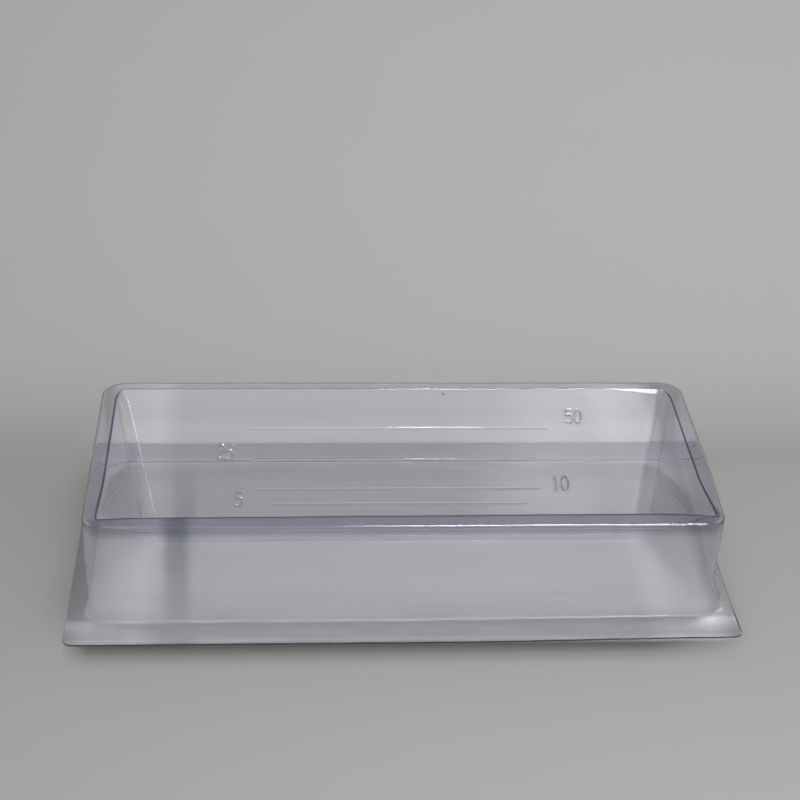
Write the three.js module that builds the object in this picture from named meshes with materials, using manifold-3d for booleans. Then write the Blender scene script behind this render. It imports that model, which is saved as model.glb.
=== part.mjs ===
// Reagent reservoir: a V-bottomed trough vacuum-formed from one sheet of clear PVC.
// Millimetres, +Z up. X runs along the trough. The origin is the middle of the base
// flange's outline, on the surface that the reservoir stands on.

import * as THREE from 'three';
import { mergeVertices, toCreasedNormals } from 'three/addons/utils/BufferGeometryUtils.js';
import Module from 'manifold-3d';

const radians = THREE.MathUtils.degToRad;

// Sheet
const sheetThickness = 0.4;

// Body: the raised box whose open top is the trough
const bodyLength = 143.5; // over the rim
const bodyWidth = 65; // over the rim
const bodyHeight = 25.8; // from the table to the top of the rim
const bodyCorner = 5; // plan radius of the rim's outer corners
const wallDraft = radians(0.6); // the side walls lean out towards the base
const rimEdge = 1; // radius where the side walls turn into the rim
const footEdge = 1.4; // radius where the side walls turn into the flange

// Trough
const rimWidth = 3.7; // from the outside of the body to the mouth of the trough
const mouthEdge = 0.7; // radius where the rim turns into the trough
const troughCorner = 2.6; // plan radius between the long walls and the end walls
const endLean = radians(19); // the end walls lean in towards the bottom
const valleyRadius = 2; // radius along the bottom of the V
const tableGap = 0.5; // from the table to the underside of the V

// Flange: from the foot of the body to the edge, cut a little off centre
const flangeFront = 6.5;
const flangeBack = 7.3;
const flangeLeft = 2.8;
const flangeRight = 2.3;
const flangeCorner = 2;

// Graduation lines, embossed in the back wall of the trough
const graduations = [
  { millilitres: 5, length: 63 },
  { millilitres: 10, length: 70 },
  { millilitres: 25, length: 70 },
  { millilitres: 50, length: 75.5 },
];
const cubicMillimetresPerMillilitre = 1000;
const lineWidth = 1;
const lineHeight = 0.15; // above the face of the wall
const lineRoot = 0.06; // from the middle of a line's round section up to the face of the wall

// Facets
const cornerSteps = 10; // in each rounded corner in plan
const bendSteps = 5; // in each bend of the section
const lineSides = 14;

// Sharp corners of the section, before each is rounded to its radius
const halfLength = bodyLength / 2;
const halfWidth = bodyWidth / 2;
const flangeTop = sheetThickness;
const footSpread = (bodyHeight - flangeTop) * Math.tan(wallDraft);
const footReach = footSpread + footEdge * Math.tan((Math.PI / 2 - wallDraft) / 2);
const trimShift = { x: (flangeRight - flangeLeft) / 2, y: (flangeBack - flangeFront) / 2 };
const mouthHalfLength = halfLength - rimWidth;
const mouthHalfWidth = halfWidth - rimWidth;
const valleyFloor = tableGap + sheetThickness;

// The long walls run straight from the mouth and touch the round bottom of the V
const valleyRise = bodyHeight - valleyFloor - valleyRadius;
const longWallSlope =
  Math.atan2(valleyRise, mouthHalfWidth) +
  Math.asin(valleyRadius / Math.hypot(valleyRise, mouthHalfWidth));
const valleyPoint = bodyHeight - mouthHalfWidth * Math.tan(longWallSlope);

/** A polyline with each inner corner rounded to its radius. The corners are {out, up, radius, steps}. */
function roundedPath(corners) {
  const at = ({ out, up }) => new THREE.Vector2(out, up);
  return corners.flatMap((corner, index) => {
    if (!corner.radius) return [at(corner)];
    const point = at(corner);
    const before = at(corners[index - 1]).sub(point).normalize();
    const after = at(corners[index + 1]).sub(point).normalize();
    const turn = Math.PI - Math.acos(before.dot(after));
    const side = Math.sign(after.cross(before));
    const start = before.clone().multiplyScalar(corner.radius * Math.tan(turn / 2)).add(point);
    const centre = new THREE.Vector2(before.y, -before.x).multiplyScalar(side * corner.radius).add(start);
    return Array.from({ length: corner.steps + 1 }, (_, step) =>
      start.clone().rotateAround(centre, (side * turn * step) / corner.steps));
  });
}

/** The upper side of the sheet, cut lengthwise or across, from the flange's edge to the bottom of the V. */
function sectionThrough(half, flangeEdge, trough) {
  return roundedPath([
    { out: flangeEdge, up: flangeTop },
    { out: half + footSpread, up: flangeTop, radius: footEdge, steps: bendSteps },
    { out: half, up: bodyHeight, radius: rimEdge, steps: bendSteps },
    { out: half - rimWidth, up: bodyHeight, radius: mouthEdge, steps: bendSteps },
    ...trough,
  ]);
}

/** Lengthwise, the end walls meet the level bottom of the V. */
function lengthwiseSection() {
  const out = mouthHalfLength - (bodyHeight - valleyFloor) * Math.tan(endLean);
  const section = sectionThrough(halfLength, halfLength + footReach + (flangeLeft + flangeRight) / 2, [
    { out, up: valleyFloor, radius: valleyRadius, steps: bendSteps },
    { out: 0, up: valleyFloor },
  ]);
  return section.slice(0, -1);
}

/** Across, the two long walls meet in the middle, so the path crosses it and half of the last bend stays. */
function crosswiseSection() {
  const section = sectionThrough(halfWidth, halfWidth + footReach + (flangeFront + flangeBack) / 2, [
    { out: 0, up: valleyPoint, radius: valleyRadius, steps: 2 * bendSteps },
    { out: -mouthHalfWidth, up: bodyHeight },
  ]);
  return section.slice(0, -bendSteps - 1);
}

/** The plan radius of each bend's corners, in the order of the section's points. */
function cornerRadii() {
  const bends = [bodyCorner + footReach, bodyCorner, troughCorner, troughCorner];
  return [flangeCorner, ...bends.flatMap((radius) => Array(bendSteps + 1).fill(radius))];
}

/**
 * The upper side of the sheet as an open surface: a round-cornered rectangle for each point of the two
 * sections. A corner starts at the lengthwise section's height and ends at the crosswise one's.
 */
function upperSurface() {
  const lengthwise = lengthwiseSection();
  const crosswise = crosswiseSection();
  const radii = cornerRadii();
  const columns = 4 * (cornerSteps + 1);
  const positions = [];
  const triangles = [];
  for (const [row, along] of lengthwise.entries()) {
    const across = crosswise[row];
    const radius = Math.min(radii[row], across.x);
    const shift = row === 0 ? trimShift : { x: 0, y: 0 };
    for (let column = 0; column < columns; column++) {
      const quarter = Math.floor(column / (cornerSteps + 1));
      const angle = (Math.PI / 2) * (quarter + (column % (cornerSteps + 1)) / cornerSteps);
      const right = quarter === 0 || quarter === 3 ? 1 : -1;
      const back = quarter < 2 ? 1 : -1;
      positions.push(
        shift.x + right * (along.x - radius) + radius * Math.cos(angle),
        shift.y + back * (across.x - radius) + radius * Math.sin(angle),
        THREE.MathUtils.lerp(along.y, across.y, Math.sin(angle) ** 2),
      );
      if (row === 0) continue;
      const next = (column + 1) % columns;
      const [outer, inner] = [(row - 1) * columns, row * columns];
      triangles.push(outer + column, outer + next, inner + next);
      triangles.push(outer + column, inner + next, inner + column);
    }
  }
  return surface(positions, triangles);
}

/** A surface whose shared points are merged, without the triangles that this leaves with no area. */
function surface(positions, triangles) {
  const geometry = new THREE.BufferGeometry();
  geometry.setAttribute('position', new THREE.Float32BufferAttribute(positions, 3));
  geometry.setIndex(triangles);
  return withoutSlivers(mergeVertices(geometry));
}

function withoutSlivers(geometry) {
  const index = geometry.index.array;
  const kept = [];
  for (let i = 0; i < index.length; i += 3) {
    const [a, b, c] = index.slice(i, i + 3);
    if (a !== b && b !== c && c !== a) kept.push(a, b, c);
  }
  geometry.setIndex(kept);
  return geometry;
}

/** Thickens an open surface into a closed sheet, with its other side moved along the normals. */
function thicken(upper, thickness) {
  upper.computeVertexNormals();
  const { position, normal } = upper.attributes;
  const index = Array.from(upper.index.array);
  const count = position.count;
  const positions = Array.from(position.array);
  for (let i = 0; i < count * 3; i++) positions.push(position.array[i] - thickness * normal.array[i]);

  const edges = new Set();
  for (let i = 0; i < index.length; i++) {
    const end = i % 3 === 2 ? i - 2 : i + 1;
    edges.add(`${index[i]} ${index[end]}`);
  }
  const triangles = [...index];
  for (let i = 0; i < index.length; i += 3) {
    triangles.push(count + index[i], count + index[i + 2], count + index[i + 1]);
  }
  for (const edge of edges) {
    const [from, to] = edge.split(' ').map(Number);
    if (edges.has(`${to} ${from}`)) continue;
    triangles.push(to, from, count + from);
    triangles.push(to, count + from, count + to);
  }
  return surface(positions, triangles);
}

/** Half the trough's sharp length and width, `height` above the point of the V. */
function troughAt(height) {
  return {
    halfLength: mouthHalfLength - (bodyHeight - valleyPoint - height) * Math.tan(endLean),
    halfWidth: height / Math.tan(longWallSlope),
  };
}

/** The volume of liquid that stands `height` above the point of the V: a wedge with sloping ends. */
function volumeBelow(height) {
  const { halfLength: topHalfLength, halfWidth: topHalfWidth } = troughAt(height);
  const pointHalfLength = troughAt(0).halfLength;
  return (4 * topHalfWidth * height * (pointHalfLength + 2 * topHalfLength)) / 6;
}

/** The height above the point of the V that this many millilitres reach, found by halving. */
function levelOf(millilitres) {
  const volume = millilitres * cubicMillimetresPerMillilitre;
  let [low, high] = [0, bodyHeight - valleyPoint];
  for (let halving = 0; halving < 40; halving++) {
    const middle = (low + high) / 2;
    if (volumeBelow(middle) < volume) low = middle;
    else high = middle;
  }
  return high;
}

/** An oval rod with round ends along one graduation, its middle `depth` below the face of the back wall. */
function graduationBar({ millilitres, length }, depth) {
  const radius = lineWidth / 2;
  const height = levelOf(millilitres);
  const bar = new THREE.CapsuleGeometry(radius, length - lineWidth, lineSides / 2, lineSides);
  bar.rotateZ(Math.PI / 2);
  bar.rotateX(Math.PI / lineSides);
  bar.scale(1, 1, (lineHeight + lineRoot) / radius);
  bar.translate(0, 0, -depth);
  bar.rotateX(longWallSlope);
  bar.translate(0, troughAt(height).halfWidth, valleyPoint + height);
  return bar;
}

const wasm = await Module();
wasm.setup();

function solidOf(geometry) {
  const bare = geometry.clone();
  bare.deleteAttribute('normal');
  bare.deleteAttribute('uv');
  const merged = withoutSlivers(mergeVertices(bare));
  const vertProperties = new Float32Array(merged.attributes.position.array);
  const triVerts = new Uint32Array(merged.index.array);
  return new wasm.Manifold(new wasm.Mesh({ numProp: 3, vertProperties, triVerts }));
}

function geometryOf(solid) {
  const { vertProperties, triVerts } = solid.getMesh();
  const geometry = new THREE.BufferGeometry();
  geometry.setAttribute('position', new THREE.BufferAttribute(vertProperties, 3));
  geometry.setIndex(new THREE.BufferAttribute(triVerts, 1));
  return geometry;
}

/** Each graduation stands out of the trough's face and is hollow behind, as the sheet was drawn over it. */
function embossed(body) {
  return graduations.reduce(
    (solid, graduation) =>
      solid
        .add(solidOf(graduationBar(graduation, lineRoot)))
        .subtract(solidOf(graduationBar(graduation, lineRoot + sheetThickness))),
    body,
  );
}

function makeReservoir() {
  const body = solidOf(thicken(upperSurface(), sheetThickness));
  const geometry = toCreasedNormals(geometryOf(embossed(body)), radians(30));
  geometry.translate(-trimShift.x, -trimShift.y, 0);
  const clearPvc = new THREE.MeshStandardMaterial({
    color: 0xc9cedb,
    roughness: 0.08,
    metalness: 0,
    transparent: true,
    opacity: 0.35,
  });
  const reservoir = new THREE.Mesh(geometry, clearPvc);
  reservoir.name = 'reservoir';
  return reservoir;
}

const part = new THREE.Group();
part.add(makeReservoir());

export default part;
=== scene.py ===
from math import acos, asin, atan2, hypot, pi, radians, tan

import bmesh
import bpy
import numpy as np
from mathutils import Matrix, Vector


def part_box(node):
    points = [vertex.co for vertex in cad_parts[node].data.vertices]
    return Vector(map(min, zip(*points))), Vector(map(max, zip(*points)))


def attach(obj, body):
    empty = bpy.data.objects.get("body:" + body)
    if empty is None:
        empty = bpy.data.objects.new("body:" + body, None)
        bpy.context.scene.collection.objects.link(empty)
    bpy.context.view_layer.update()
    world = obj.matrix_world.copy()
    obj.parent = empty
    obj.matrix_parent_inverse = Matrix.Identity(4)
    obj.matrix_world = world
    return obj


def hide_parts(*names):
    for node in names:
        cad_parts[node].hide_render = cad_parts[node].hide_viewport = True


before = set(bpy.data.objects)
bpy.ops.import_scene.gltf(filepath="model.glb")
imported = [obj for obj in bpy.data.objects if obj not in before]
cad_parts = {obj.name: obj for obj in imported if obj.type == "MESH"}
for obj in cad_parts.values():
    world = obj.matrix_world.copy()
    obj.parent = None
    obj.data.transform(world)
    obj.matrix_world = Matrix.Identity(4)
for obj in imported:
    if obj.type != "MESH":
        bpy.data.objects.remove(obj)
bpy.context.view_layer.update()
mm = 0.001
print("frame loaded:", sorted(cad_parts))

mixFactor, mixFirst, mixSecond, mixResult = 0, 6, 7, 2  # the sockets of a Mix node that mixes colours


# An sRGB hex colour as linear RGBA, by the sRGB curve
def linear(hexColour, alpha=1.0):
    parts = [int(hexColour[i:i + 2], 16) / 255 for i in (1, 3, 5)]
    return [p / 12.92 if p <= 0.04045 else ((p + 0.055) / 1.055) ** 2.4 for p in parts] + [alpha]


# Adds one node: settings are its properties or its sockets' values, links are what feeds its inputs
def addNode(tree, kind, settings=None, links=None):
    node = tree.nodes.new(kind)
    for name, value in (settings or {}).items():
        if isinstance(name, str) and hasattr(node, name):
            setattr(node, name, value)
        else:
            node.inputs[name].default_value = value
    for name, source in (links or {}).items():
        tree.links.new(source, node.inputs[name])
    return node


# An empty material and its output node
def newMaterial(name):
    material = bpy.data.materials.new(name)
    material.use_nodes = True
    material.node_tree.nodes.clear()
    return material, addNode(material.node_tree, "ShaderNodeOutputMaterial")


# The tone at a place, straight between (place, tone) pairs. The source is in metres where the scale is a
# millimetre. A ramp holds 1 at most, so the tones are divided by the highest and scaled back. A new ramp
# has two stops already.
def toneRamp(tree, source, stops, scale=1.0, warmth=(1, 1, 1)):
    first, last = stops[0][0], stops[-1][0]
    share = addNode(tree, "ShaderNodeMapRange", {"From Min": first * scale, "From Max": last * scale},
                    {"Value": source})
    ramp = addNode(tree, "ShaderNodeValToRGB", links={"Fac": share.outputs["Result"]})
    top = max(tone for _, tone in stops)
    for i, (place, tone) in enumerate(stops):
        at = (place - first) / (last - first)
        stop = ramp.color_ramp.elements[i] if i < 2 else ramp.color_ramp.elements.new(at)
        stop.position = at
        stop.color = [tone / top * part for part in warmth] + [1]
    scaled = addNode(tree, "ShaderNodeVectorMath", {"operation": "SCALE", "Scale": top},
                     {0: ramp.outputs["Color"]})
    return scaled.outputs["Vector"]


# The camera looks down on the long side from the front
camera = {
    "place": (-26.71, -379.41, 258.40),
    "elevation": 29.99,  # degrees that it looks down
    "azimuth": -3.977,  # degrees that it is turned, anticlockwise from above
    "roll": 1.91,
    "lens": 85.5,
    "sensor": 36.0,
    "nearest": 10.0,
    "farthest": 50000.0,
}


def makeCamera(c):
    data = bpy.data.cameras.new("camera")
    data.lens = c["lens"]
    data.sensor_width = c["sensor"]
    data.clip_start = c["nearest"] * mm
    data.clip_end = c["farthest"] * mm
    holder = bpy.data.objects.new("camera", data)
    bpy.context.scene.collection.objects.link(holder)
    turn = (Matrix.Rotation(radians(c["azimuth"]), 4, "Z")
            @ Matrix.Rotation(radians(90 - c["elevation"]), 4, "X")
            @ Matrix.Rotation(radians(c["roll"]), 4, "Z"))
    holder.matrix_world = Matrix.Translation(Vector(c["place"]) * mm) @ turn
    bpy.context.scene.camera = holder


makeCamera(camera)
print("camera placed")

reservoir = {
    # The sheet as it left the mould
    "sheet": 0.4,  # thickness
    "flangeCorner": 2.0,
    "flangeFront": 6.5,  # flat of the flange beyond the foot's edge, on each side
    "flangeBack": 7.3,
    "flangeLeft": 2.8,
    "flangeRight": 2.3,
    "footEdge": 1.4,  # radius from the flange into the side walls, which sets where the flange ends
    "footBend": 1.0,  # the tighter radius that the sheet bends to
    "wallDraft": 0.6,  # degrees
    "bodyCorner": 5.0,
    "rimEdge": 1.0,
    "rimWidth": 3.7,
    "mouthEdge": 0.7,
    "facetTop": (1.3, 4.5),  # the trough's corners are flat facets: reach along and across at the mouth
    "facetFront": (0.5, 1.0),  # at the mouth's front corners
    "facetFoot": (2.8, 2.8),  # and at the bottom
    "facetFlatness": 0.75,  # 1 is a flat facet with sharp creases, 0 is a round corner
    "endLean": 19.0,  # degrees
    "valleyRadius": 2.0,
    "tableGap": 0.5,

    # The mould's marks on the back wall of the trough: each line is (millilitres, length), and each number
    # (text, middle along the wall, foot above the point of the V, up the wall)
    "lines": [(5, 63.0), (10, 70.0), (25, 70.0), (50, 75.5)],
    "numbers": [("5", -38.35, 8.5), ("10", 40.1, 12.3), ("25", -41.7, 20.5), ("50", 44.1, 29.4)],
    "lineWidth": 1.0,
    "lineHeight": 0.075,
    "digitHeight": 3.45,
    "digitWidth": 1.7,
    "digitGap": 0.45,
    "strokeWidth": 0.6,
    "strokeHeight": 0.18,

    # How it has sprung since. Each pair that is named From holds where a move starts and where it is full.
    "rippleHeight": 0.03,  # slow waves that it keeps from cooling
    "rippleWaves": (11, 7, 90.0, 30.0),  # random seed, how many, the longest and the shortest
    "rippleFoot": 4.0,  # they fade out from this height down
    "footOut": (0.5, 1.6),  # the foot spreads by this at the left and right ends
    "footOutFrom": (52, 68),
    "footIn": (0.7, 0.012),  # its front draws in by this, and by more per millimetre to the right
    "footHeight": 6.0,  # up to where these fade
    "puckerDepth": 0.10,  # small puckers in the foot's bend, in front
    "puckerWaves": (23, 7, 30, 4),
    "puckerFrom": (-20, 0),
    "mouthBow": (0.9, 0.005),  # the mouth's front edge bows in, by more per millimetre to the right
    "mouthFlare": (0.6, 1.3),  # and turns out again by this at the left and right corners
    "mouthFlareFrom": (55, 68),
    "mouthSpread": (0.6, 1.2),  # which also spread sideways
    "mouthSpreadFrom": ((52, 66), (12, 29)),  # sideways, towards the front
    # How far the front right corner draws in, by height
    "pinch": [(0.4, 0.0), (3, 0.2), (9, 1.2), (16, 0.9), (25.8, 0.5)],
    "pinchFrom": ((60, 71), (8, 30)),
    "backLift": 1.5,  # the back foot stands off the table
    "backCurl": 0.3,  # and the back edge of the flange curls up a little more
    "backFrom": (8, 33),
    "cornerCurl": 0.75,  # the front right corner of the flange
    "cornerCurlFrom": ((10, 74), (20, 40)),

    # Painted navy shade along the mouth's bend and on the front rim, standing in for the blue of light's long
    # way through the sheet, as a share of the painted shade's colour
    "mouthPaintedShade": 1.0,
    "rimPaintedShade": 0.4,
    "rimPaintedShadeFrom": (22.0, 25.0),  # height
    "frontTurns": (2.1, 2.6, 3.4, 3.9),  # quarters of a turn from the right end: starts, full, less, ends
    "backTurns": (0.2, 0.8, 1.2, 1.8),

    # Spacing of the mesh
    "coarseSpacing": 2.4,
    "lineSpacing": 0.14,  # across a graduation line
    "digitSpacing": 0.19,
    "lineEndSpacing": 0.3,
    "lineReach": 0.6,  # how far the finer mesh goes to each side of a line's middle
    "lineEndReach": 0.5,  # past its end
    "digitReach": (0.3, 0.2),  # and past a number, sideways and upwards
    "markedReach": 48.0,  # the marks lie within this much of the middle of the wall
    "sideReach": 52.0,
    "outerPlaces": (1.25, 1.5, 1.75, 1.93, 2.0),  # beyond that, up to the corner at 2
    "cornerPlaces": (0.04, 0.12, 0.25, 0.4, 0.6, 0.75, 0.88, 0.96),  # shares of a quarter turn
    "endPlaces": 19,
    "flangeRows": 4,
    "sideRows": 10,
    "rimRows": 4,
    "wallRows": 12,  # on the walls of the trough without marks
    "bendSteps": 8,
    "valleySteps": 5,  # in half of the bottom bend
    "mergeWithin": 0.0001,
    "sliverWithin": 0.00001,
    "sharpFrom": 50.0,  # degrees between two faces
}


# Sizes from the frame, and the sharp corners of the sections that follow from them
def sizesOf(r):
    low, high = (np.array(corner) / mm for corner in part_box("reservoir"))
    length, width, height = high - low
    footSpread = (height - r["sheet"]) * tan(radians(r["wallDraft"]))
    reach = footSpread + r["footEdge"] * tan((pi / 2 - radians(r["wallDraft"])) / 2)
    halfLength = length / 2 - reach - (r["flangeLeft"] + r["flangeRight"]) / 2
    halfWidth = width / 2 - reach - (r["flangeFront"] + r["flangeBack"]) / 2
    mouthWidth = halfWidth - r["rimWidth"]
    floor = r["tableGap"] + r["sheet"]
    rise = height - floor - r["valleyRadius"]
    slope = atan2(rise, mouthWidth) + asin(r["valleyRadius"] / hypot(rise, mouthWidth))
    return {
        "height": height, "footSpread": footSpread, "reach": reach, "halfLength": halfLength,
        "halfWidth": halfWidth, "mouthLength": halfLength - r["rimWidth"], "mouthWidth": mouthWidth,
        "floor": floor, "slope": slope, "point": height - mouthWidth * tan(slope),
        "shiftX": (r["flangeLeft"] - r["flangeRight"]) / 2,
        "shiftY": (r["flangeFront"] - r["flangeBack"]) / 2,
    }


# 0 before the start, 1 after the end, and a smooth S between
def fade(value, start, end):
    t = np.clip((value - start) / (end - start), 0, 1)
    return t * t * (3 - 2 * t)


# 1 from full to less, and a smooth S down to 0 at the start and at the end
def between(value, start, full, less, end):
    return fade(value, start, full) * fade(-value, -end, -less)


# How near a place is to a corner in front, from 0 to 1: a fade sideways times a fade towards the front
def nearCorner(sideways, y, reach):
    return fade(sideways, *reach[0]) * fade(-y, *reach[1])


# The arc that rounds a corner: points turn about its centre from one tangent to the other
def arcAt(before, corner, after, radius, steps):
    before, corner, after = (np.array(p, float) for p in (before, corner, after))
    back = (before - corner) / np.linalg.norm(before - corner)
    ahead = (after - corner) / np.linalg.norm(after - corner)
    turn = pi - acos(np.clip(back @ ahead, -1, 1))
    start = corner + back * radius * tan(turn / 2)
    end = corner + ahead * radius * tan(turn / 2)
    middle = back + ahead
    centre = corner + middle / np.linalg.norm(middle) * radius / np.cos(turn / 2)
    share = np.linspace(0, 1, steps + 1)[:, None] * turn
    return centre + ((start - centre) * np.sin(turn - share) + (end - centre) * np.sin(share)) / np.sin(turn)


curveSamples = 4001  # places at which a curve is summed or read back


# Places from start to end, coarse apart and finer near each mark (place, reach, spacing): the density of
# places is summed along the line, and read back at equal steps
def placesBetween(start, end, coarse, marks):
    thinsOver = 1.0  # from the end of a mark's reach
    x = np.linspace(start, end, curveSamples)
    density = np.full(x.shape, 1 / coarse)
    for place, reach, fine in marks:
        nearness = np.clip((reach + thinsOver - np.abs(x - place)) / thinsOver, 0, 1)
        density = np.maximum(density, nearness / fine)
    total = np.concatenate([[0], np.cumsum((density[1:] + density[:-1]) / 2 * np.diff(x))])
    return np.interp(np.linspace(0, total[-1], int(np.ceil(total[-1])) + 1), total, x)


# Volume in the V up to a height above its point: a wedge with sloping ends
def volumeBelow(height, s, r):
    topLength = s["mouthLength"] - (s["height"] - s["point"] - height) * tan(radians(r["endLean"]))
    footLength = s["mouthLength"] - (s["height"] - s["point"]) * tan(radians(r["endLean"]))
    return 4 * height / tan(s["slope"]) * height * (footLength + 2 * topLength) / 6


# How far up the wall from the point of the V that many millilitres stand, of 1000 cubic millimetres each
def levelUpWall(millilitres, s, r):
    heights = np.linspace(0, s["height"] - s["point"], curveSamples)
    return np.interp(millilitres * 1000, volumeBelow(heights, s, r), heights) / np.sin(s["slope"])


# An arc of an ellipse, from one angle to another in degrees
def ovalArc(centre, radii, start, end, points=25):
    angle = np.radians(np.linspace(start, end, points))
    return np.stack([centre[0] + radii[0] * np.cos(angle), centre[1] + radii[1] * np.sin(angle)], 1)


# Each digit as runs of points in a cell w wide and h high: straight bars, and arcs of ellipses
def strokesOf(w, h):
    bowl = ovalArc((w * 0.45, h * 0.3), (w * 0.55, h * 0.3), 120, -140)
    return {
        "0": [ovalArc((w / 2, h / 2), (w / 2, h / 2), 0, 360)],
        "1": [np.array([[w * 0.15, h * 0.8], [w * 0.5, h], [w * 0.5, 0]])],
        "2": [np.concatenate([ovalArc((w / 2, h - w / 2), (w / 2, w / 2), 160, -35), [[0, 0], [w, 0]]])],
        "5": [np.concatenate([[[w * 0.95, h], [w * 0.1, h], [w * 0.02, h * 0.52]], bowl])],
    }


# Distance of each place (u, v) from a run of points: the least distance from the bars between them
def distanceTo(run, u, v):
    best = np.full(u.shape, np.inf)
    for (ax, ay), (bx, by) in zip(run[:-1], run[1:]):
        dx, dy = bx - ax, by - ay
        along = np.clip(((u - ax) * dx + (v - ay) * dy) / (dx * dx + dy * dy), 0, 1)
        best = np.minimum(best, np.hypot(u - ax - along * dx, v - ay - along * dy))
    return best


# A rounded ridge: a cosine hump across its width
def ridge(distance, width, height):
    return height * (0.5 + 0.5 * np.cos(pi * np.clip(distance / (width / 2), 0, 1)))


# Height that the mould's marks stand out of the back wall, at u along it and v up it: the highest of the
# ridges along the lines and the digits' strokes
def relief(u, v, s, r):
    total = np.zeros(u.shape)
    for millilitres, length in r["lines"]:
        level = levelUpWall(millilitres, s, r)
        half = (length - r["lineWidth"]) / 2
        total = np.maximum(total, ridge(distanceTo([(-half, level), (half, level)], u, v),
                                        r["lineWidth"], r["lineHeight"]))
    strokes = strokesOf(r["digitWidth"], r["digitHeight"])
    step = r["digitWidth"] + r["digitGap"]
    for text, middle, foot in r["numbers"]:
        left = middle - (step * len(text) - r["digitGap"]) / 2
        for place, digit in enumerate(text):
            for run in strokes[digit]:
                distance = distanceTo(run + np.array([left + place * step, foot]), u, v)
                total = np.maximum(total, ridge(distance, r["strokeWidth"], r["strokeHeight"]))
    return total


# A slow uneven field between about -1 and 1: a sum of sine waves with chosen lengths and random ways
def waves(x, y, z, seed, count, longest, shortest):
    dice = np.random.default_rng(seed)
    total = np.zeros(x.shape)
    for length in np.geomspace(longest, shortest, count):
        way = dice.normal(size=3)
        way /= np.linalg.norm(way)
        total += np.sin(2 * pi * (x * way[0] + y * way[1] + z * way[2]) / length + dice.uniform(0, 2 * pi))
    return total / np.sqrt(count)


# The two sections of the sheet's upper side, (out, up) from the cut edge to the bottom of the V, as their
# first point and the arcs of their four bends; straight parts lie between
def sections(s, r):
    def bends(half, edge, last, lastSteps):
        points = [(edge, r["sheet"]), (half + s["footSpread"], r["sheet"]), (half, s["height"]),
                  (half - r["rimWidth"], s["height"]), *last]
        radii = [r["footBend"], r["rimEdge"], r["mouthEdge"], r["valleyRadius"]]
        steps = [r["bendSteps"], r["bendSteps"], r["bendSteps"], lastSteps]
        return np.array(points[0]), [arcAt(*points[i:i + 3], radii[i], n) for i, n in enumerate(steps)]

    sharpEnd = s["mouthLength"] - (s["height"] - s["floor"]) * tan(radians(r["endLean"]))
    halfTrim = (r["flangeLeft"] + r["flangeRight"]) / 2
    lengthwise = bends(s["halfLength"], s["halfLength"] + s["reach"] + halfTrim,
                       [(sharpEnd, s["floor"]), (0, s["floor"])], r["valleySteps"])
    halfTrim = (r["flangeFront"] + r["flangeBack"]) / 2
    edge, arcs = bends(s["halfWidth"], s["halfWidth"] + s["reach"] + halfTrim,
                       [(0, s["point"]), (-s["mouthWidth"], s["height"])], 2 * r["valleySteps"])
    arcs[-1] = arcs[-1][:r["valleySteps"] + 1]  # the bottom bend crosses the middle, and half of it stays
    return lengthwise, (edge, arcs)


# The middle and width of each number on the wall
def numberSpans(r):
    step = r["digitWidth"] + r["digitGap"]
    return [(middle, step * len(text) - r["digitGap"] + r["strokeWidth"]) for text, middle, _ in r["numbers"]]


# Columns of the grid, anticlockwise from the front of the right end: the turn, in quarters from the right
# end, and the place along a side, in millimetres along the long sides or as a share of the ends. In the
# bottom of the V the front has the places of the back.
def columnsOf(r):
    fine = [(x, width / 2 + r["digitReach"][0], r["digitSpacing"]) for x, width in numberSpans(r)]
    fine += [(side * length / 2, r["lineEndReach"], r["lineEndSpacing"])
             for _, length in r["lines"] for side in (-1, 1)]
    marked = placesBetween(-r["sideReach"], r["sideReach"], r["coarseSpacing"], fine)
    plain = np.linspace(-1, 1, int(2 * r["sideReach"] / r["coarseSpacing"])) * r["sideReach"]
    plain = plain[np.abs(marked[:, None] - plain[None, :]).argmin(1)]  # the front has fewer places of its own
    ends = np.linspace(-1, 1, r["endPlaces"])
    outer = np.array(r["outerPlaces"]) * r["sideReach"]
    back = np.concatenate([-outer[::-1], marked, outer])
    front = np.concatenate([-outer[::-1], plain, outer])
    corner = np.array(r["cornerPlaces"])
    none = np.zeros(corner.shape)
    turn = [0 * ends, corner, 0 * back + 1, corner + 1, 0 * ends + 2, corner + 2, 0 * back + 3, corner + 3]
    place = [ends, none, back[::-1], none, ends[::-1], none, front, none]
    valley = [ends, none, back[::-1], none, ends[::-1], none, back, none]
    return np.concatenate(turn), np.concatenate(place), np.concatenate(valley)


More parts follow.
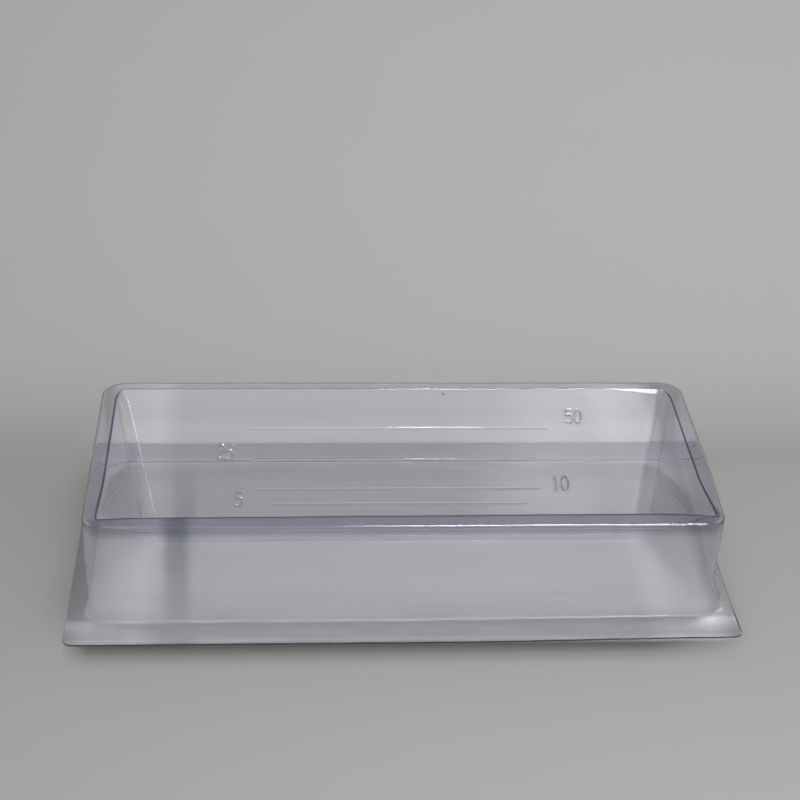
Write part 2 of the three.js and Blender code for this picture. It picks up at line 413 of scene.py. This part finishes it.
# The sheet's upper side as a grid of round-cornered rectangles. Each row is a rectangle whose half length
# comes from the lengthwise section and half width from the crosswise one; a corner is a quarter ellipse
# drawn towards its chord, and goes from one section's height to the other's by the sine squared of its
# angle. The rows belong to eight parts of the sheet, and the first row of each is handed on.
def sheetGrid(s, r):
    (alongEdge, alongArcs), (acrossEdge, acrossArcs) = sections(s, r)
    turn, place, valley = columnsOf(r)

    wallTop = (acrossArcs[2][-1][1] - s["point"]) / np.sin(s["slope"])
    wallFoot = (acrossArcs[3][0][1] - s["point"]) / np.sin(s["slope"])
    marks = [(levelUpWall(ml, s, r), r["lineReach"], r["lineSpacing"]) for ml, _ in r["lines"]]
    marks += [(foot + r["digitHeight"] / 2, r["digitHeight"] / 2 + r["digitReach"][1], r["digitSpacing"])
              for _, _, foot in r["numbers"]]
    upWall = placesBetween(wallFoot, wallTop, r["coarseSpacing"], marks)
    fine = (wallTop - upWall[::-1]) / (wallTop - wallFoot)
    plain = np.round(fine * r["wallRows"]) / r["wallRows"]
    isMarked = (turn == 1) & (np.abs(place) <= r["markedReach"])
    wallShares = np.where(isMarked[None, :], fine[1:-1, None], plain[1:-1, None])

    # Shares of the way along each straight part, of which the ends belong to the bends
    one = np.ones(turn.shape)
    flangeShares = np.linspace(0, 1, r["flangeRows"] + 1)[:-1, None] * one
    sideShares = np.linspace(0, 1, r["sideRows"] + 1)[1:-1, None] * one
    rimShares = np.linspace(0, 1, r["rimRows"] + 1)[1:-1, None] * one
    shares = [flangeShares, sideShares, rimShares, wallShares]

    def rows(edge, arcs, axis):
        parts, start = [], edge
        for share, arc in zip(shares, arcs):
            parts += [start[axis] * (1 - share) + arc[0][axis] * share, arc[:, axis, None] * one]
            start = arc[-1]
        return np.concatenate(parts)

    a, up = rows(alongEdge, alongArcs, 0), rows(alongEdge, alongArcs, 1)
    b, acrossUp = rows(acrossEdge, acrossArcs, 0), rows(acrossEdge, acrossArcs, 1)
    names = ["flange", "foot", "side", "edge", "rim", "mouth", "wall", "valley"]
    lengths = [len(part) for pair in zip(shares, alongArcs) for part in pair]
    count = dict(zip(names, lengths))
    first = dict(zip(names, np.cumsum([0] + lengths)))

    # Reach of the corner along and across, and how flat it is
    foot = r["bodyCorner"] + s["reach"]
    body = r["bodyCorner"]
    ramps = [(r["flangeCorner"], foot), (foot, foot), (foot, body), (body, body)]
    plainReach = np.concatenate([np.linspace(p, q, n) for (p, q), n in zip(ramps, lengths)])[:, None] * one
    inward = np.linspace(0, 1, count["rim"] + 2)[1:-1, None] * one
    depth = np.concatenate([np.zeros((count["mouth"], 1)) * one, wallShares,
                            np.ones((count["valley"], 1)) * one])
    flat = np.concatenate([0 * plainReach, inward, 0 * depth + 1]) * r["facetFlatness"]
    isFront = turn > 2
    rx, ry = [np.concatenate([plainReach, body + (top - body) * inward, top + (low - top) * depth])
              for top, low in zip(np.where(isFront, np.array(r["facetFront"])[:, None],
                                           np.array(r["facetTop"])[:, None]), r["facetFoot"])]
    shrink = np.minimum(1, b / ry)
    rx, ry = rx * shrink, ry * shrink

    quarter, share = np.floor(turn), turn % 1
    angle, start, end = turn * pi / 2, quarter * pi / 2, (quarter + 1) * pi / 2
    outX = rx * ((1 - flat) * np.cos(angle) + flat * ((1 - share) * np.cos(start) + share * np.cos(end)))
    outY = ry * ((1 - flat) * np.sin(angle) + flat * ((1 - share) * np.sin(start) + share * np.sin(end)))
    signX = np.where((turn < 1) | (turn > 3), 1, -1)
    signY = np.where(turn < 2, 1, -1)
    isEnd = (share == 0) & (quarter % 2 == 0)
    isLong = (share == 0) & (quarter % 2 == 1)
    places = np.broadcast_to(place, a.shape).copy()
    places[-1] = valley
    size = np.abs(places) / r["sideReach"]
    longX = np.sign(places) * np.where(size <= 1, size * r["sideReach"],
                                       r["sideReach"] + (size - 1) * (a - rx - r["sideReach"]))
    x = np.where(isLong, longX, signX * (a - rx)) + outX
    y = np.where(isEnd, places * (b - ry), signY * (b - ry)) + outY
    z = up + (acrossUp - up) * np.sin(angle) ** 2
    return x, y, z, turn, first


# The sheet after it has sprung: small smooth moves of the foot, the flange and the mouth. Each is a size
# times fades along, across and up the sheet, so that it dies out smoothly.
def sprung(x, y, z, turn, first, s, r):
    row = np.arange(len(x))[:, None]
    outside = row < first["rim"]
    trim = np.zeros(len(x))
    trim[:first["foot"]] = np.linspace(1, 0, first["foot"] + 1)[:-1]
    trim = trim[:, None]  # 1 at the cut edge, 0 from the foot on
    rim = np.zeros(len(x))
    rim[first["rim"]:first["mouth"]] = np.linspace(0, 1, first["mouth"] - first["rim"] + 2)[1:-1]
    rim[first["mouth"]:] = 1
    rim = rim[:, None]  # 0 outside, 1 from the mouth on
    outX, outY = np.cos(turn * pi / 2), np.sin(turn * pi / 2)  # which way each column faces
    toFront = np.maximum(-outY, 0)

    low = np.where(outside, 1 - fade(z, r["sheet"], r["footHeight"]), 0) * (1 - trim)
    leftOut, rightOut = r["footOut"]
    moveX = low * np.where(x > 0, rightOut, -leftOut) * fade(np.abs(x), *r["footOutFrom"])
    middle, slope = r["footIn"]
    moveY = low * (middle + slope * np.maximum(x, 0)) * toFront

    bend = np.where(outside, 1 - fade(z, r["sheet"], 2 * r["footEdge"]), 0) * (1 - trim)
    pucker = r["puckerDepth"] * waves(x, y, 0 * z, *r["puckerWaves"]) * bend * fade(-y, *r["puckerFrom"])
    moveX = moveX - pucker * outX
    moveY = moveY - pucker * outY

    down = rim * np.clip((z - s["floor"]) / (s["height"] - s["floor"]), 0, 1) ** 2
    front = down * toFront
    middle, slope = r["mouthBow"]
    moveY = moveY + front * (middle + slope * x)
    flare, spread = (np.where(x < 0, *r[name]) for name in ("mouthFlare", "mouthSpread"))
    start, end = r["mouthFlareFrom"]
    moveY = moveY - front * flare * np.clip((np.abs(x) - start) / (end - start), 0, 1) ** 2
    moveX = moveX + down * spread * np.sign(x) * nearCorner(np.abs(x), y, r["mouthSpreadFrom"])
    pinch = np.interp(z, *np.array(r["pinch"]).T) * nearCorner(x, y, r["pinchFrom"])
    moveX = moveX - (1 - rim) * (1 - trim) * pinch

    back = fade(y, *r["backFrom"]) * outside
    moveZ = back * r["backLift"] * np.where(trim > 0, 1, low) + back * r["backCurl"] * trim
    moveZ = moveZ + r["cornerCurl"] * trim * nearCorner(x, y, r["cornerCurlFrom"])
    return x + moveX + s["shiftX"] * (1 - trim), y + moveY + s["shiftY"] * (1 - trim), z + moveZ


# How much painted navy shade the sheet takes, from 0 to 1, standing in for the blue of light's long way
# through it.
# Along the bend of the mouth it is the sine squared of the way round the bend, but for the back. In front it
# is even across the rim, and fades out down the wall under it.
def paintedEdgeShadeShare(z, turn, first, r):
    ahead, behind = between(turn, *r["frontTurns"]), between(turn, *r["backTurns"])
    share = ahead * r["rimPaintedShade"] * fade(z, *r["rimPaintedShadeFrom"])
    share[first["mouth"]:] = 0
    bend = r["mouthPaintedShade"] * np.sin(pi * np.linspace(0, 1, first["wall"] - first["mouth"])) ** 2
    share[first["mouth"]:first["wall"]] = np.maximum(bend[:, None] * (1 - behind), r["rimPaintedShade"] * ahead)
    return share


# A mesh whose columns close into a ring, with one value on each point and its doubles merged
def ringMesh(name, x, y, z, attribute, values, r):
    rowCount, columnCount = x.shape
    index = np.arange(rowCount * columnCount).reshape(rowCount, columnCount)
    beside = np.roll(index, -1, 1)
    faces = np.stack([index[:-1], beside[:-1], beside[1:], index[1:]], 2).reshape(-1, 4)
    mesh = bpy.data.meshes.new(name)
    mesh.from_pydata((np.stack([x, y, z], 2).reshape(-1, 3) * mm).tolist(), [], faces.tolist())
    mesh.attributes.new(attribute, "FLOAT", "POINT").data.foreach_set("value", values.ravel())
    shape = bmesh.new()
    shape.from_mesh(mesh)
    bmesh.ops.remove_doubles(shape, verts=shape.verts, dist=r["mergeWithin"] * mm)
    bmesh.ops.dissolve_degenerate(shape, edges=shape.edges, dist=r["sliverWithin"] * mm)
    shape.to_mesh(mesh)
    shape.free()
    return mesh


# The slow waves move the sheet along its own normals: waves times their height, less twice that at the
# top of the rim so that nothing rises above it, and fading out at the foot
def rippleMesh(mesh, s, r):
    co, normals = np.zeros(len(mesh.vertices) * 3), np.zeros(len(mesh.vertices) * 3)
    mesh.vertices.foreach_get("co", co)
    mesh.vertex_normals.foreach_get("vector", normals)
    co, normals = co.reshape(-1, 3), normals.reshape(-1, 3)
    x, y, z = co.T / mm
    top = fade(z, s["height"] - r["rimEdge"], s["height"])
    height = r["rippleHeight"] * (waves(x, y, z, *r["rippleWaves"]) - 2 * top)
    height = height * fade(z, r["sheet"], r["rippleFoot"])
    mesh.vertices.foreach_set("co", (co + normals * height[:, None] * mm).ravel())
    mesh.polygons.foreach_set("use_smooth", np.ones(len(mesh.polygons), bool))
    mesh.update()


pvc = {
    "roughness": 0.02,
    "ior": 1.53,
    "sheetColour": "#FEFEFF",
    # painted navy shade along the mouth's bend and on the front rim
    "paintedEdgeShadeColour": "#14226C",
    "tonerColour": "#7C8BD7",  # what is left of white light deep in the sheet
    "tonerDensity": 180.0,  # per metre
    "paintedReflectionColour": "#CBCDD2",  # a painted dark reflection runs down the front and up the back wall of the trough
    "paintedReflectionPlace": -51.0,
    "paintedReflectionMiddle": 0.9,  # as dark as this far to each side, and gone at the reach
    "paintedReflectionReach": 4.0,
    "paintedReflectionDrift": 1.6,  # it wanders by this
    "paintedReflectionGrain": 9.0,  # in patches of this size
    "paintedReflectionDetail": 2.0,
    "troughFrom": (-29, -27),  # where the front ends and the trough begins
    # Its strength in front by height, and in the trough by distance back
    "paintedReflectionFront": [(0, 0.0), (0.6, 0.0), (1.5, 0.3), (9, 0.5), (15, 0.75), (21, 0.85), (26, 0.8)],
    "paintedReflectionTrough": [(-33, 0.2), (-5, 0.45), (5, 0.45), (10, 0.25), (14.5, 0.0), (50, 0.0)],
    "specks": [(12.2, 27.3, 24.8), (70.0, 1.1, 25.6), (64.6, -30.9, 25.6)],  # burnt specks in the sheet
    "speckSize": 0.35,
    "speckCore": 0.6,  # the share of it that is fully dark
    "speckColour": "#50525C",
    "cutColour": "#E6E8F0",
    "cutRoughness": 0.45,
    "cutTransmission": 0.8,
}


# The blue toner that PVC is given against yellowing; it shows in the edges and deep in the bends
def addToner(tree, output, t):
    body = addNode(tree, "ShaderNodeVolumeAbsorption",
                   {"Color": linear(t["tonerColour"]), "Density": t["tonerDensity"]})
    tree.links.new(body.outputs["Volume"], output.inputs["Volume"])


# Clear rigid PVC, vacuum-formed: glossy and clear as glass, with painted navy shade where light runs a long
# way through the sheet, a painted dark reflection down the front and in the trough, and a few specks
def clearPvc(t):
    material, output = newMaterial("clear_pvc_vacuum_formed")
    tree = material.node_tree
    where = addNode(tree, "ShaderNodeTexCoord")
    parts = addNode(tree, "ShaderNodeSeparateXYZ", links={"Vector": where.outputs["Object"]})
    drift = addNode(tree, "ShaderNodeTexNoise",
                    {"Scale": 1 / (t["paintedReflectionGrain"] * mm), "Detail": t["paintedReflectionDetail"]},
                    {"Vector": where.outputs["Object"]})
    # Distance from the middle of the painted dark reflection, which wanders a little, and a soft hump across
    # it
    place = addNode(tree, "ShaderNodeMath", {"operation": "MULTIPLY_ADD", 1: t["paintedReflectionDrift"] * mm},
                    {0: drift.outputs["Fac"], 2: parts.outputs["X"]})
    across = addNode(tree, "ShaderNodeMath",
                     {"operation": "SUBTRACT", 1: (t["paintedReflectionPlace"] + t["paintedReflectionDrift"] / 2) * mm},
                     {0: place.outputs[0]})
    across = addNode(tree, "ShaderNodeMath", {"operation": "ABSOLUTE"}, {0: across.outputs[0]})
    hump = addNode(tree, "ShaderNodeMapRange",
                   {"interpolation_type": "SMOOTHSTEP", "From Min": t["paintedReflectionMiddle"] * mm,
                    "From Max": t["paintedReflectionReach"] * mm, "To Min": 1.0, "To Max": 0.0},
                   {"Value": across.outputs[0]})
    # On the front wall it fades downwards, and in the trough backwards
    nearest, furthest = t["troughFrom"]
    inTrough = addNode(tree, "ShaderNodeMapRange", {"From Min": nearest * mm, "From Max": furthest * mm},
                       {"Value": parts.outputs["Y"]})
    share = addNode(tree, "ShaderNodeMix", {"data_type": "RGBA"},
                    {mixFactor: inTrough.outputs["Result"],
                     mixFirst: toneRamp(tree, parts.outputs["Z"], t["paintedReflectionFront"], mm),
                     mixSecond: toneRamp(tree, parts.outputs["Y"], t["paintedReflectionTrough"], mm)})
    strength = addNode(tree, "ShaderNodeMath", {"operation": "MULTIPLY"},
                       {0: hump.outputs["Result"], 1: share.outputs[mixResult]})
    # The painted dark reflection greys the sheet's colour
    colour = addNode(tree, "ShaderNodeMix",
                     {"data_type": "RGBA", mixFirst: linear(t["sheetColour"]),
                      mixSecond: linear(t["paintedReflectionColour"])},
                     {mixFactor: strength.outputs[0]})
    # Painted navy shade along the mouth's bend and on the front rim
    blue = addNode(tree, "ShaderNodeAttribute", {"attribute_name": "paintedEdgeShade"})
    colour = addNode(tree, "ShaderNodeMix", {"data_type": "RGBA", mixSecond: linear(t["paintedEdgeShadeColour"])},
                     {mixFactor: blue.outputs["Fac"], mixFirst: colour.outputs[mixResult]})
    for speck in t["specks"]:
        far = addNode(tree, "ShaderNodeVectorMath", {"operation": "DISTANCE", 1: [c * mm for c in speck]},
                      {0: where.outputs["Object"]})
        spot = addNode(tree, "ShaderNodeMapRange",
                       {"From Min": t["speckCore"] * t["speckSize"] * mm, "From Max": t["speckSize"] * mm,
                        "To Min": 1.0, "To Max": 0.0},
                       {"Value": far.outputs["Value"]})
        colour = addNode(tree, "ShaderNodeMix", {"data_type": "RGBA", mixSecond: linear(t["speckColour"])},
                         {mixFactor: spot.outputs["Result"], mixFirst: colour.outputs[mixResult]})
    body = addNode(tree, "ShaderNodeBsdfPrincipled",
                   {"Roughness": t["roughness"], "IOR": t["ior"], "Transmission Weight": 1.0},
                   {"Base Color": colour.outputs[mixResult]})
    tree.links.new(body.outputs["BSDF"], output.inputs["Surface"])
    addToner(tree, output, t)
    return material


# The same sheet where the blade went through: a fine frosted edge, greyer than the faces
def cutPvc(t):
    material, output = newMaterial("clear_pvc_die_cut_edge")
    tree = material.node_tree
    body = addNode(tree, "ShaderNodeBsdfPrincipled", {
        "Base Color": linear(t["cutColour"]),
        "Roughness": t["cutRoughness"],
        "IOR": t["ior"],
        "Transmission Weight": t["cutTransmission"],
    })
    tree.links.new(body.outputs["BSDF"], output.inputs["Surface"])
    addToner(tree, output, t)
    return material


def makeReservoir(r):
    s = sizesOf(r)
    x, y, z, turn, first = sheetGrid(s, r)
    # Painted navy shade, where light runs a long way through the sheet
    paintedEdgeShade = paintedEdgeShadeShare(z, turn, first, r)
    # The mould's marks, raised square to the back wall
    onBackWall = (np.arange(len(x)) >= first["wall"])[:, None] & (turn == 1)[None, :]
    raised = np.where(onBackWall, relief(x, (z - s["point"]) / np.sin(s["slope"]), s, r), 0)
    y = y - raised * np.sin(s["slope"])
    z = z + raised * np.cos(s["slope"])
    x, y, z = sprung(x, y, z, turn, first, s, r)
    mesh = ringMesh("reservoir_sheet", x, y, z, "paintedEdgeShade", paintedEdgeShade, r)
    rippleMesh(mesh, s, r)

    piece = bpy.data.objects.new("reservoir_sheet", mesh)
    bpy.context.scene.collection.objects.link(piece)
    wall = piece.modifiers.new("thickness", "SOLIDIFY")
    wall.thickness = r["sheet"] * mm
    wall.offset = -1
    wall.material_offset_rim = 1  # the cut edge has its own finish
    for finish in (clearPvc(pvc), cutPvc(pvc)):
        piece.data.materials.append(finish)
    bpy.context.view_layer.objects.active = piece
    piece.select_set(True)
    bpy.ops.object.modifier_apply(modifier=wall.name)
    # The cut edge is trimmed square, and nothing stands above the rim
    co = np.zeros(len(piece.data.vertices) * 3)
    piece.data.vertices.foreach_get("co", co)
    lowest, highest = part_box("reservoir")
    piece.data.vertices.foreach_set("co", np.clip(co.reshape(-1, 3), lowest, highest).ravel())
    piece.data.update()
    piece.data.set_sharp_from_angle(angle=radians(r["sharpFrom"]))
    print("sheet:", len(piece.data.vertices), "vertices,",
          sum(len(p.vertices) - 2 for p in piece.data.polygons), "triangles")
    return piece


sheet = makeReservoir(reservoir)
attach(sheet, "root")
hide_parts("reservoir")
print("reservoir made")

table = {
    "size": 12000.0,
    "gap": 0.06,  # below the flange
    # Painted light and shade by distance, at the left and at the right: brighter to the right and further
    # from the object, darkest about its back edge
    "left": [(-400, 0.385), (-87, 0.362), (-66, 0.349), (-38.5, 0.329), (-3.4, 0.303), (26, 0.280),
             (38, 0.274), (52, 0.300), (67.6, 0.339), (90, 0.366), (120, 0.378), (198, 0.385),
             (397, 0.395), (1500, 0.41)],
    "right": [(-400, 0.445), (-90.7, 0.416), (-68.8, 0.400), (-41, 0.376), (-5.5, 0.352), (26, 0.329),
              (33, 0.325), (36, 0.306), (38, 0.306), (52, 0.344), (67.6, 0.379), (90, 0.413), (120, 0.427),
              (200, 0.440), (397, 0.455), (1500, 0.47)],
    "warmth": (1.018, 1.0, 0.977),
    "gain": 1.15,
    # How far between the two, by the share of the way across. The lines of equal share fan out from a point
    # in front: slopes are x over y, at the left and at the right of the table.
    "across": [(0, 0.0), (0.09, 0.15), (0.17, 0.27), (0.24, 0.385), (0.37, 0.54), (0.5, 0.71), (0.63, 0.82),
               (0.76, 0.92), (0.83, 0.96), (0.91, 1.0)],
    "fanPoint": (-27.1, -529.8),
    "fanSlopes": (-0.1232, 0.2334),
    "fanNearest": 400.0,  # nearer to that point they run straight on
    # Painted light and shade on the table where it is seen through the sheet: paler as if the sheet gathered
    # light on it, darker where it dips; from front to back, left to right
    "paintedLightThrough": [(-90, 1.0), (-42, 1.15), (-40, 1.25), (-38.2, 1.0), (-36, 1.4), (-34.2, 1.95),
                    (-32.7, 2.2), (-31.6, 1.52), (-30, 1.5), (-25, 1.48), (-12, 1.36), (0, 1.31),
                    (12, 0.95), (30, 1.12), (34, 0.9), (36, 1.2), (38, 0.92), (44, 0.85), (46, 1.42),
                    (52, 1.42), (60, 1.17), (90, 1.17)],
    "paintedLightAlong": [(-100, 0.62), (-76, 0.62), (-71, 1.1), (-60, 1.25), (-54, 1.0), (54, 1.0), (60, 1.2),
                  (70, 1.1), (75, 0.6), (100, 0.6)],
    # A painted contact shadow, soft and dark, where the flange meets the table in front
    "paintedContactShadow": [(-60, 1.0), (-50, 1.0), (-48.3, 0.96), (-46.6, 0.83), (-44.9, 0.69), (-43.1, 0.48),
                (-41.4, 0.32), (-40.6, 0.6), (-39.5, 1.0), (-30, 1.0)],
    "paintedContactShadowAlong": [(-76, 0), (-70, 1), (55, 1), (72, 0.25), (77, 0)],
    "roughness": 0.2,
    "sheen": 0.12,  # a quarter of the gloss of bare plastic
}


# Pale laminate table top, satin, that barely mirrors the lamps: slow gradients of painted light and shade,
# painted paler where seen through the sheet, and a painted contact shadow in front
def paleTable(t):
    material, output = newMaterial("pale_laminate")
    tree = material.node_tree
    white = linear("#FFFFFF")
    where = addNode(tree, "ShaderNodeTexCoord")
    parts = addNode(tree, "ShaderNodeSeparateXYZ", links={"Vector": where.outputs["Object"]})
    x, y = parts.outputs["X"], parts.outputs["Y"]
    offX = addNode(tree, "ShaderNodeMath", {"operation": "SUBTRACT", 1: t["fanPoint"][0] * mm}, {0: x})
    offY = addNode(tree, "ShaderNodeMath", {"operation": "SUBTRACT", 1: t["fanPoint"][1] * mm}, {0: y})
    offY = addNode(tree, "ShaderNodeMath", {"operation": "MAXIMUM", 1: t["fanNearest"] * mm},
                   {0: offY.outputs[0]})
    slope = addNode(tree, "ShaderNodeMath", {"operation": "DIVIDE"}, {0: offX.outputs[0], 1: offY.outputs[0]})
    share = addNode(tree, "ShaderNodeMapRange",
                    {"From Min": t["fanSlopes"][0], "From Max": t["fanSlopes"][1]},
                    {"Value": slope.outputs[0]})
    tone = addNode(tree, "ShaderNodeMix", {"data_type": "RGBA"},
                   {mixFactor: toneRamp(tree, share.outputs["Result"], t["across"]),
                    mixFirst: toneRamp(tree, y, t["left"], mm, t["warmth"]),
                    mixSecond: toneRamp(tree, y, t["right"], mm, t["warmth"])})

    # Painted light and shade for rays that are not the camera's, such as those through the sheet
    ray = addNode(tree, "ShaderNodeLightPath")
    through = addNode(tree, "ShaderNodeVectorMath", {"operation": "MULTIPLY"},
                      {0: toneRamp(tree, y, t["paintedLightThrough"], mm), 1: toneRamp(tree, x, t["paintedLightAlong"], mm)})
    paler = addNode(tree, "ShaderNodeMix", {"data_type": "RGBA", mixSecond: white},
                    {mixFactor: ray.outputs["Is Camera Ray"], mixFirst: through.outputs["Vector"]})
    # The painted contact shadow darkens the table in front of the flange
    paintedContactShadow = addNode(tree, "ShaderNodeMix", {"data_type": "RGBA", mixFirst: white},
                      {mixFactor: toneRamp(tree, x, t["paintedContactShadowAlong"], mm),
                       mixSecond: toneRamp(tree, y, t["paintedContactShadow"], mm)})
    product = addNode(tree, "ShaderNodeVectorMath", {"operation": "MULTIPLY"},
                      {0: tone.outputs[mixResult], 1: paler.outputs[mixResult]})
    product = addNode(tree, "ShaderNodeVectorMath", {"operation": "MULTIPLY"},
                      {0: product.outputs["Vector"], 1: paintedContactShadow.outputs[mixResult]})
    colour = addNode(tree, "ShaderNodeVectorMath", {"operation": "SCALE", "Scale": t["gain"]},
                     {0: product.outputs["Vector"]})
    body = addNode(tree, "ShaderNodeBsdfPrincipled",
                   {"Roughness": t["roughness"], "Specular IOR Level": t["sheen"]},
                   {"Base Color": colour.outputs["Vector"]})
    tree.links.new(body.outputs["BSDF"], output.inputs["Surface"])
    return material


def makeTable(t):
    mesh = bpy.data.meshes.new("table")
    half, level = t["size"] / 2 * mm, -t["gap"] * mm
    mesh.from_pydata([(-half, -half, level), (half, -half, level), (half, half, level), (-half, half, level)],
                     [], [(0, 1, 2, 3)])
    piece = bpy.data.objects.new("table", mesh)
    bpy.context.scene.collection.objects.link(piece)
    mesh.materials.append(paleTable(t))


makeTable(table)
print("table made")

studio = {
    # Name, place, aim, width, height, brightness of its face, and what sees it. Only the softbox lights the
    # table; the others are there to be mirrored in the sheet.
    "lamps": [
        ("overhead_softbox", (60, 120, 1150), (0, 0, 0), 1000, 500, 3.5, ("diffuse", "transmission")),
        ("overhead_sheen", (60, 120, 1145), (0, 0, 0), 1000, 500, 0.8, ("glossy",)),
        ("overhead_strip", (202, 120, 1140), (20, 0, 0), 146, 380, 52.0, ("glossy",)),
        ("crease_strip", (405, -420, 1140), (-60, 20, 0), 80, 420, 13.0, ("glossy",)),
        ("left_lamp", (-775, 460, 875), (0, 0, 0), 300, 300, 4.5, ("glossy",)),
        ("right_lamp", (775, 460, 875), (0, 0, 0), 400, 400, 2.5, ("glossy",)),
    ],
    # Brightness of the walls and ceiling, by the sine of the elevation
    "tones": [(-1, 0.30), (0, 0.30), (0.5, 0.30), (0.62, 0.42), (0.8, 0.55), (1, 0.55)],
    # Soft glows on the ceiling and walls: direction, reach sideways, forwards and upwards, added brightness
    "glows": [
        ((0.06, -0.40, 0.91), (0.42, 0.26, 0.8), 0.45),
        ((0.145, -0.38, 0.91), (0.06, 0.22, 0.8), 1.1),
        ((-0.38, -0.33, 0.86), (0.12, 0.2, 0.8), 0.8),
        ((0.60, -0.20, 0.77), (0.25, 0.25, 0.8), 0.5),
        ((0.69, 0.33, 0.64), (0.4, 0.4, 0.4), 0.8),
        ((-0.85, 0.40, 0.30), (0.4, 0.4, 0.4), 0.35),
    ],
    "glowCore": 0.3,  # the share of a glow's reach that is fully bright
    "bounces": 64,  # light passes many walls of the sheet
}


def makeLamps(lamps):
    for name, place, aim, width, height, brightness, seenBy in lamps:
        data = bpy.data.lights.new(name, "AREA")
        data.shape = "RECTANGLE"
        data.size = width * mm
        data.size_y = height * mm
        data.energy = brightness * pi * width * mm * height * mm
        lamp = bpy.data.objects.new(name, data)
        bpy.context.scene.collection.objects.link(lamp)
        lamp.visible_diffuse = "diffuse" in seenBy
        lamp.visible_glossy = "glossy" in seenBy
        lamp.visible_transmission = "transmission" in seenBy
        lamp.location = Vector(place) * mm
        lamp.rotation_mode = "QUATERNION"
        lamp.rotation_quaternion = (Vector(place) - Vector(aim)).to_track_quat("Z", "Y")


# The room around: a slow gradient upwards, and soft glows added to it
def makeWorld(w):
    world = bpy.data.worlds.new("studio")
    bpy.context.scene.world = world
    world.use_nodes = True
    tree = world.node_tree
    tree.nodes.clear()
    output = addNode(tree, "ShaderNodeOutputWorld")
    where = addNode(tree, "ShaderNodeTexCoord")
    parts = addNode(tree, "ShaderNodeSeparateXYZ", links={"Vector": where.outputs["Generated"]})
    tone = toneRamp(tree, parts.outputs["Z"], w["tones"])
    for middle, reach, brightness in w["glows"]:
        # Distance from the middle of the glow, in reaches; it fades as a smooth S
        off = addNode(tree, "ShaderNodeVectorMath", {"operation": "SUBTRACT", 1: middle},
                      {0: where.outputs["Generated"]})
        off = addNode(tree, "ShaderNodeVectorMath", {"operation": "DIVIDE", 1: reach},
                      {0: off.outputs["Vector"]})
        far = addNode(tree, "ShaderNodeVectorMath", {"operation": "LENGTH"}, {0: off.outputs["Vector"]})
        glow = addNode(tree, "ShaderNodeMapRange",
                       {"interpolation_type": "SMOOTHSTEP", "From Min": w["glowCore"],
                        "To Min": brightness, "To Max": 0.0},
                       {"Value": far.outputs["Value"]})
        both = addNode(tree, "ShaderNodeVectorMath", {"operation": "ADD"},
                       {0: tone, 1: glow.outputs["Result"]})
        tone = both.outputs["Vector"]
    sky = addNode(tree, "ShaderNodeBackground", {"Strength": 1.0}, {"Color": tone})
    tree.links.new(sky.outputs["Background"], output.inputs["Surface"])


makeLamps(studio["lamps"])
makeWorld(studio)
bpy.context.scene.view_settings.view_transform = "Standard"
bpy.context.scene.cycles.max_bounces = studio["bounces"]
bpy.context.scene.cycles.transmission_bounces = studio["bounces"]
bpy.context.scene.cycles.glossy_bounces = studio["bounces"]
print("light set")
